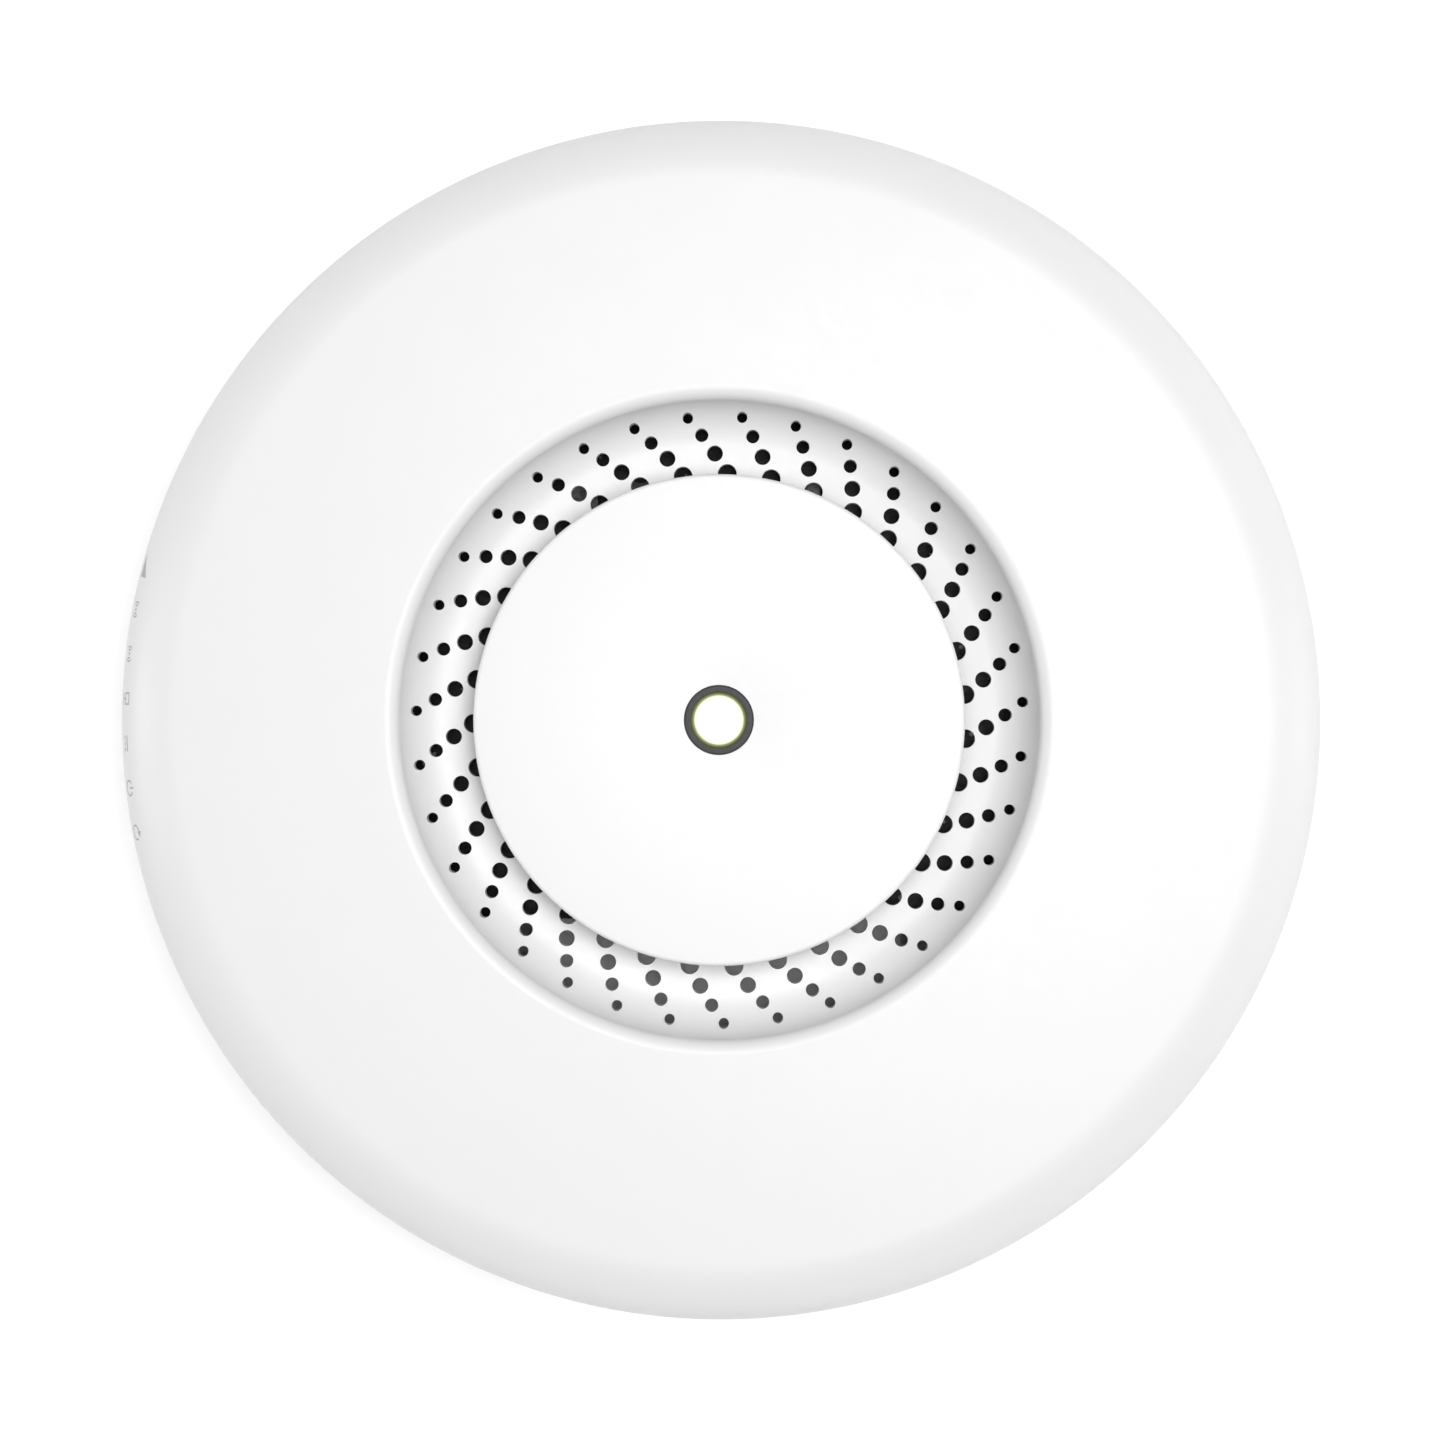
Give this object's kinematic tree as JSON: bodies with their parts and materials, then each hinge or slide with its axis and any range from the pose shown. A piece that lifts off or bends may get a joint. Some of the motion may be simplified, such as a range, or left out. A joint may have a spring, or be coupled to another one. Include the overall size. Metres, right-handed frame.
{
  "type": "ceiling access point",
  "caption": "Round indoor wireless access point with a vented recess, a centre lamp and a twist-on ceiling plate.",
  "frame": {"origin": "centre of the mounting plate's back face, which lies on the ceiling", "axes": "+Z out of the face, along the twist axis; -Y towards the cable exit; -X towards the status lights"},
  "size_m": [0.191, 0.191, 0.042],
  "materials": {
    "case_white": "fine moulded grain, satin",
    "disc_white": "smooth satin",
    "base_white": "fine moulded grain, satin",
    "plate_white": "plain moulded",
    "button_white": "smooth",
    "bezel_grey": "smooth",
    "lens": "milky, lit",
    "light_guide": "clear moulded",
    "label": "blank film",
    "board": "dark solder mask",
    "chip_black": "moulded epoxy",
    "tin": "tinned sheet",
    "heatsink_black": "black anodised",
    "pad": "soft silicone",
    "socket_black": "moulded",
    "gold": "gold plated",
    "ferrite": "ferrite and epoxy",
    "capacitor_sleeve": "printed film sleeve, blank",
    "led_chip": "clear epoxy",
    "screw_steel": "black oxide"
  },
  "bodies": {
    "plate": {"mounting_plate": "plate_white"},
    "case": {"top_cover": "case_white", "centre_disc": "disc_white", "led_bezel": "bezel_grey", "led_lens": "lens", "centre_light_guide": "light_guide", "base_shell": "base_white", "rating_label": "label", "side_light_guide": "light_guide", "main_board": "board", "processor": "chip_black", "memory_chips": "chip_black", "radio_chips": "chip_black", "flash_chip": "chip_black", "shield_frames": "tin", "shield_lids": "tin", "thermal_pad": "pad", "heatsink": "heatsink_black", "antennas_2ghz": "tin", "antennas_5ghz": "tin", "ethernet_shell_1": "tin", "ethernet_shell_2": "tin", "ethernet_insert_1": "socket_black", "ethernet_insert_2": "socket_black", "ethernet_contacts_1": "gold", "ethernet_contacts_2": "gold", "dc_jack_body": "socket_black", "dc_jack_pin": "tin", "lan_transformers": "chip_black", "power_inductors": "ferrite", "capacitors": "capacitor_sleeve", "reset_switch": "socket_black", "centre_led": "led_chip", "side_leds": "led_chip", "board_screws": "screw_steel", "case_screws": "screw_steel"},
    "reset_button": {"reset_button": "button_white"}
  },
  "joints": [
    {"name": "case_twist", "type": "hinge", "parent": "plate", "child": "case", "pos_m": [0, 0, 0], "axis": [0, 0, 1], "range_deg": [0, 12]},
    {"name": "reset_press", "type": "slide", "parent": "case", "child": "reset_button", "axis": [0.9819, 0.1894, 0], "range_m": [0, 0.0007], "stiffness_N_per_m": 300, "springref_m": -0.002}
  ]
}
